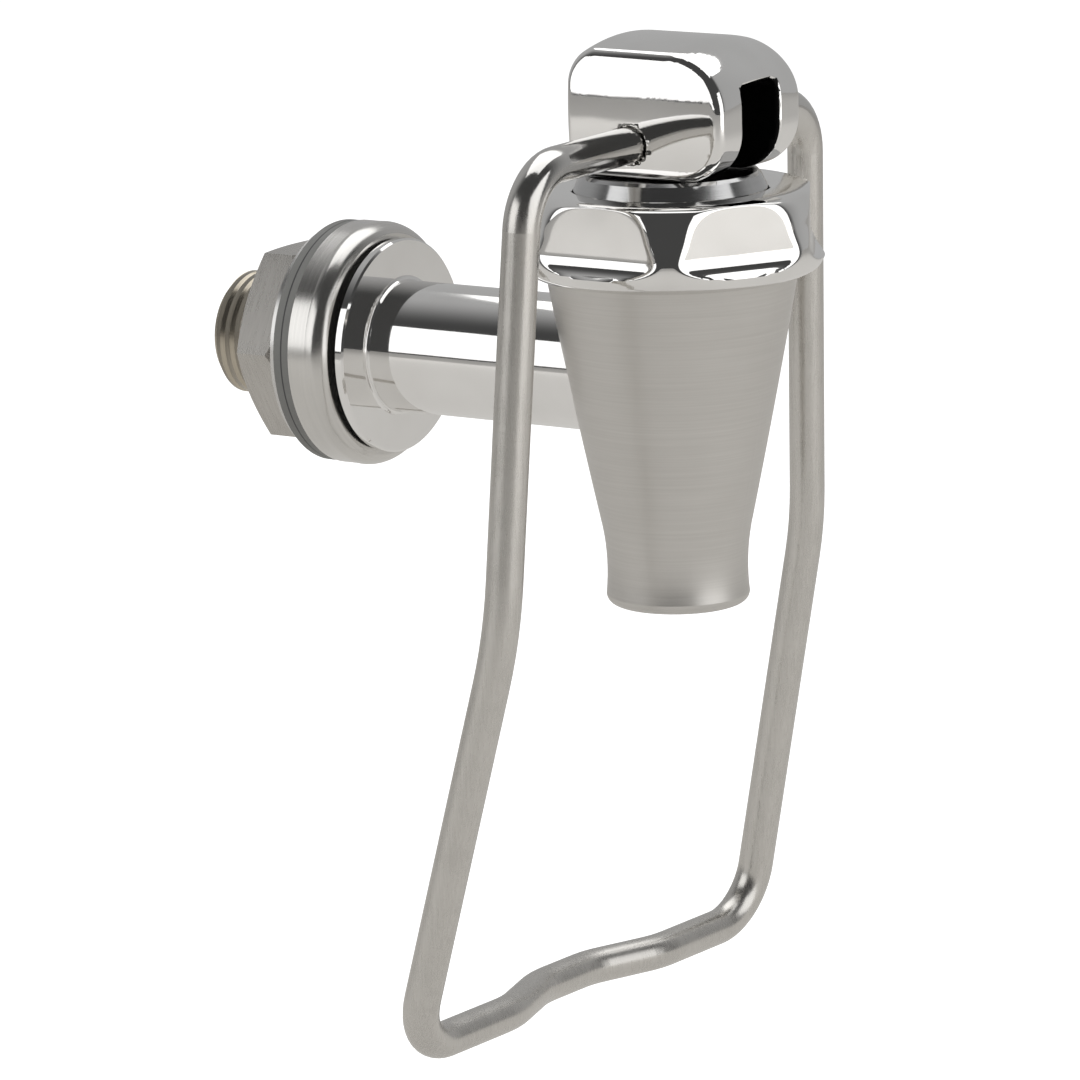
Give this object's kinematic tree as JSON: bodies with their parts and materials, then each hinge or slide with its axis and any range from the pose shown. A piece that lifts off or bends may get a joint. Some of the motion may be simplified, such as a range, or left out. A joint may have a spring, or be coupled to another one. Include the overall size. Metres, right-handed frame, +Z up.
{
  "type": "push-back bag in box tap",
  "caption": "Stainless dispensing tap with a tapered spout, a horizontal arm clamped through a wall, and a bent wire loop that rocks a polished head to lift the valve.",
  "frame": {"origin": "on the tail's axis, in the plane of the back nut's outer face, where the free threaded stub begins", "axes": "+X along the arm, out of the wall towards the user; +Z up; +Y to the left of someone facing the tap from the front"},
  "size_m": [0.0867, 0.0802, 0.1268],
  "materials": {
    "satin_steel": "cast stainless steel, bead-blasted and brushed to an even satin",
    "polished_steel": "stainless steel buffed to a mirror",
    "bonnet_steel": "turned stainless steel, polished on the neck",
    "wire_steel": "stainless wire with a fine drawn satin finish",
    "spun_steel": "stainless ring with turning marks round its rim",
    "machined_steel": "turned and milled stainless steel, left from the tool",
    "stem_steel": "turned stainless steel",
    "spring_steel": "drawn stainless spring wire",
    "clear_silicone": "soft milky silicone",
    "grey_silicone": "grey silicone sheet gasket",
    "black_rubber": "thin black rubber washer"
  },
  "bodies": {
    "tap_body": {"spout_body": "satin_steel", "shank": "polished_steel", "flange_seal": "black_rubber", "escutcheon_ring": "spun_steel", "rear_gasket": "grey_silicone", "tail_washer": "machined_steel", "back_nut": "machined_steel", "bonnet_nut": "polished_steel", "bonnet": "bonnet_steel", "seat_cup": "clear_silicone", "return_spring": "spring_steel"},
    "stem": {"valve_stem": "stem_steel", "spring_washer": "stem_steel"},
    "lever": {"lever_head": "polished_steel", "wire_lever": "wire_steel"}
  },
  "joints": [
    {"name": "stem_lift", "type": "slide", "parent": "tap_body", "child": "stem", "axis": [0, 0, 1], "range_m": [0, 0.0019], "stiffness_N_per_m": 1200, "springref_m": -0.004, "deforming": ["return_spring", "seat_cup"]},
    {"name": "lever_tilt", "type": "hinge", "parent": "stem", "child": "lever", "pos_m": [0.0585, 0, 0.0301], "axis": [0, 1, 0], "range_deg": [0, 15]}
  ],
  "couplings": [
    {"joint": "stem_lift", "follows": "lever_tilt", "m_per_rad": 0.0072}
  ]
}
